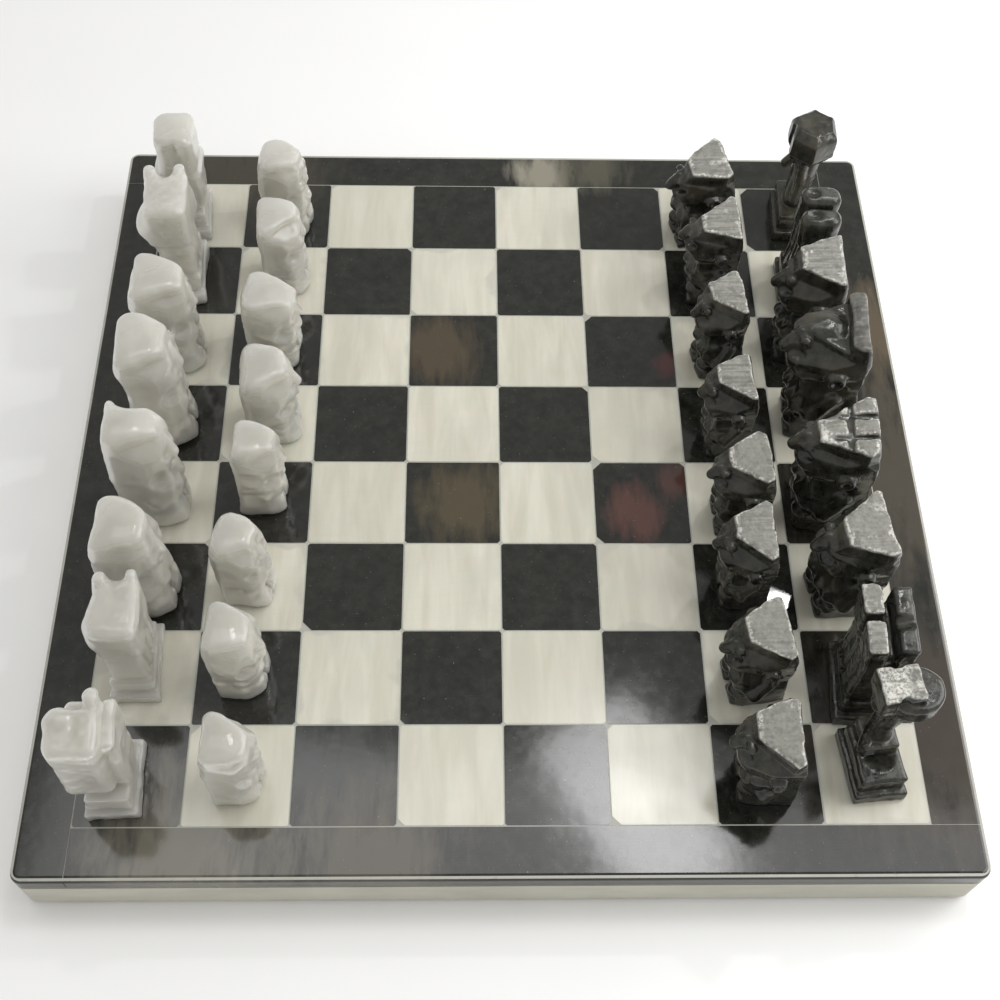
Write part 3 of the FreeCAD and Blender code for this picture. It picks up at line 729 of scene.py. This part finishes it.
def dark_carved_material():
    """Black stone, glossy where it was tumbled, pale and matt where it was sawn off, with a painted
    highlight on the chipped rim of a sawn top.
    """
    p = Paint("dark_stone_carved", IOR=1.5)
    grain = p.noise(p.stretched((4, 4, 7), 15), 5, 0.6)
    colour = p.mix(p.ramp(grain, 0.35, 0.68), (0.01, 0.01, 0.008), (0.05, 0.05, 0.041))
    warm = p.ramp(p.noise(p.stretched((14, 14, 14)), 2), 0.52, 0.66, 0, 0.6)
    colour = p.mix(warm, colour, (0.066, 0.06, 0.042))
    # The sawn attribute: up to 1 on a sawn top, above 1 on its chipped rim, which gets a painted
    # highlight.
    sawn_and_rim_glint = p.add("Attribute", attribute_name="sawn").outputs["Fac"]
    sawn = p.math("MINIMUM", sawn_and_rim_glint, 1.0)
    fine = p.noise(p.stretched((1.1, 1.1, 1.1)), 4, 0.65)
    lines = p.noise(p.stretched((22, 1.2, 12), 38), 1)
    ridged = p.ramp(p.noise(p.stretched((26, 26, 60)), 1), 0.42, 0.58, 0.3, 1.6)
    tone = p.math("ADD", p.math("MULTIPLY", p.math("SUBTRACT", lines, 0.5), ridged), fine)
    pale = p.mix(p.ramp(tone, 0.3, 0.72), (0.17, 0.167, 0.148), (0.27, 0.266, 0.236))
    stain = p.ramp(p.noise(p.stretched((3.5, 3.5, 3.5)), 4), 0.36, 0.46)
    sawn = p.math("MULTIPLY", sawn, p.ramp(stain, 0, 1, 0.7, 1.0))
    # Painted highlight: the chipped rim of a sawn top turns near-white, standing in for the glint of
    # light on that broken edge.
    painted_rim_glint = p.math("MULTIPLY", p.ramp(sawn_and_rim_glint, 1.25, 1.8), p.ramp(fine, 0.4, 0.55))
    pale = p.mix(painted_rim_glint, pale, (0.6, 0.59, 0.54))
    colour = p.mix(sawn, colour, pale)
    rough = p.math("ADD", p.ramp(grain, 0.3, 0.7, 0.12, 0.28), p.math("MULTIPLY", sawn, 0.45))
    p.bump(p.math("ADD", p.noise(p.stretched((2.4, 2.4, 2.4)), 4), p.math("MULTIPLY", tone, sawn)), 0.2)
    return p.finish(colour, rough)


def resin_material():
    """Cloudy grey filler."""
    p = Paint("resin", IOR=1.5)
    cloud = p.noise(p.stretched((4, 4, 4)), 3)
    colour = p.mix(cloud, (0.33, 0.33, 0.29), (0.47, 0.46, 0.41))
    p.bump(p.noise(p.stretched((1.5, 1.5, 1.5)), 3), 0.05)
    return p.finish(colour, p.ramp(cloud, 0.3, 0.7, 0.25, 0.45))


def slab_material():
    """Cast pale slab with fine grit and sanded sides."""
    p = Paint("cast_slab", IOR=1.5)
    cloud = p.noise(p.stretched((30, 30, 12)), 4, 0.6)
    grit = p.noise(p.stretched((0.7, 0.7, 0.7)), 2)
    colour = p.mix(p.ramp(cloud, 0.35, 0.65), (0.48, 0.465, 0.39), (0.57, 0.553, 0.47))
    colour = p.mix(p.ramp(grit, 0.6, 0.75, 0, 0.3), colour, (0.35, 0.34, 0.29))
    p.bump(grit, 0.08)
    return p.finish(colour, p.ramp(cloud, 0.3, 0.7, 0.45, 0.6))


def felt_material():
    """Short dark green felt."""
    p = Paint("felt", Sheen_Weight=0.4, Sheen_Roughness=0.5)
    fibre = p.noise(p.stretched((0.35, 1.4, 0.5), 35), 4, 0.7, 1.5)
    lint = p.noise(p.stretched((6, 6, 6)), 3)
    colour = p.mix(p.ramp(fibre, 0.3, 0.7), (0.008, 0.03, 0.016), (0.03, 0.085, 0.045))
    colour = p.mix(p.ramp(lint, 0.55, 0.8, 0, 0.3), colour, (0.06, 0.11, 0.07))
    p.bump(fibre, 0.3)
    return p.finish(colour, 0.95)


MATERIALS = {
    "light_stone_polished": light_tile_material(),
    "dark_stone_polished": dark_stone_material(),
    "light_stone_carved": light_carved_material(),
    "dark_stone_carved": dark_carved_material(),
    "resin": resin_material(),
    "cast_slab": slab_material(),
    "felt": felt_material(),
}

# ---------------------------------------------------------------- the board

BOARD_SLOTS = {"felt_base": "felt", "backing_slab": "cast_slab", "resin_bed": "resin"}


def finish_board():
    """Materials on the board's CAD nodes, and worn edges on its stones."""
    for name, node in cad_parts.items():
        if name in BOARD_SLOTS:
            node.data.materials.clear()
            node.data.materials.append(MATERIALS[BOARD_SLOTS[name]])
        elif "tiles" in name or name.startswith("border"):
            colour = "light" if name.startswith("light") else "dark"
            node.data.materials.clear()
            node.data.materials.append(MATERIALS[colour + "_stone_polished"])
            wear = node.modifiers.new("worn_edge", "BEVEL")
            wear.width = 0.22 * MM
            wear.segments = 2
            wear.limit_method = "ANGLE"


def make_army(colour, first_seed):
    """All sixteen pieces of one colour."""
    for i, (name, kind, turn, slant, lean) in enumerate(OFFICERS[colour]):
        make_piece("%s_%s" % (colour, name), kind, colour, turn, slant, lean, first_seed + i)
    for i, (turn, slant) in enumerate(PAWN_TURNS_AND_SLANTS[colour]):
        node = "%s_pawn_%d" % (colour, i + 1)
        make_piece(node, PAWN_KIND[colour], colour, turn, slant, 0, first_seed + 20 + i)


# ---------------------------------------------------------------- camera, light and floor

CAMERA_AZIMUTH = math.radians(-3.13)
CAMERA_ELEVATION = math.radians(59.14)
CAMERA_ROLL = math.radians(2.82)
CAMERA_DISTANCE = 14.631 * SQUARE
CAMERA_TARGET = Vector((0.0, -0.474 * SQUARE, BOARD_TOP))
CAMERA_LENS = 49.7
# The floor runs this far each way from the board's centre, in metres.
FLOOR_REACH = 6.0


def make_camera():
    """Camera at the photograph's viewing angle."""
    level = math.cos(CAMERA_ELEVATION)
    back = Vector((
        math.sin(CAMERA_AZIMUTH) * level,
        -math.cos(CAMERA_AZIMUTH) * level,
        math.sin(CAMERA_ELEVATION),
    ))
    camera = bpy.data.objects.new("camera", bpy.data.cameras.new("camera"))
    camera.data.lens = CAMERA_LENS
    camera.data.clip_start = 0.01
    turn = (-back).to_track_quat("-Z", "Y").to_matrix() @ Matrix.Rotation(CAMERA_ROLL, 3, "Z")
    camera.matrix_world = Matrix.Translation(CAMERA_TARGET + back * CAMERA_DISTANCE) @ turn.to_4x4()
    bpy.context.scene.collection.objects.link(camera)
    bpy.context.scene.camera = camera


def make_light(name, place, aim, size, watts, spin=0.0):
    """Soft panel that faces the aim point, turned about its own axis by the spin in degrees."""
    lamp = bpy.data.lights.new(name, "AREA")
    lamp.shape = "RECTANGLE"
    lamp.size, lamp.size_y = size
    lamp.energy = watts
    panel = bpy.data.objects.new(name, lamp)
    face = (Vector(aim) - Vector(place)).to_track_quat("-Z", "Y").to_matrix()
    face = face @ Matrix.Rotation(math.radians(spin), 3, "Z")
    panel.matrix_world = Matrix.Translation(place) @ face.to_4x4()
    bpy.context.scene.collection.objects.link(panel)


def make_floor():
    """Plain pale floor under the board."""
    p = Paint("floor")
    tint = p.noise(p.stretched((60, 60, 60)), 3)
    p.finish(p.mix(tint, (0.92, 0.92, 0.92), (0.95, 0.95, 0.95)), 0.7)
    mesh = bpy.data.meshes.new("floor")
    corners = [(FLOOR_REACH * x, FLOOR_REACH * y, 0) for x, y in ((-1, -1), (1, -1), (1, 1), (-1, 1))]
    mesh.from_pydata(corners, [], [(0, 1, 2, 3)])
    mesh.materials.append(p.material)
    floor = bpy.data.objects.new("floor", mesh)
    floor.location.z = CAD_BOX[0].z
    bpy.context.scene.collection.objects.link(floor)


def make_studio():
    """Even light all round, a panel to the right, two cards overhead and a small bright lamp."""
    world = bpy.data.worlds.new("studio")
    world.use_nodes = True
    world.node_tree.nodes["Background"].inputs["Color"].default_value = (1, 0.995, 0.97, 1)
    world.node_tree.nodes["Background"].inputs["Strength"].default_value = 0.6
    bpy.context.scene.world = world
    bpy.context.scene.view_settings.view_transform = "Standard"
    make_light("window", (0.55, 0.0, 0.45), (0, 0, BOARD_TOP), (0.5, 0.4), 2.6)
    make_light("card", (0.07, 0.15, 1.2), (0.07, 0.15, 0), (1.2, 0.28), 2.2, -6.7)
    make_light("bright_card", (0.2, 0.24, 1.19), (0.2, 0.24, 0), (0.14, 0.26), 1.2, 30)
    make_light("lamp", (0.239, 0.176, 0.507), (0.1, 0, BOARD_TOP), (0.02, 0.02), 0.3)


finish_board()
make_army("dark", 100)
make_army("light", 300)
make_floor()
make_studio()
make_camera()
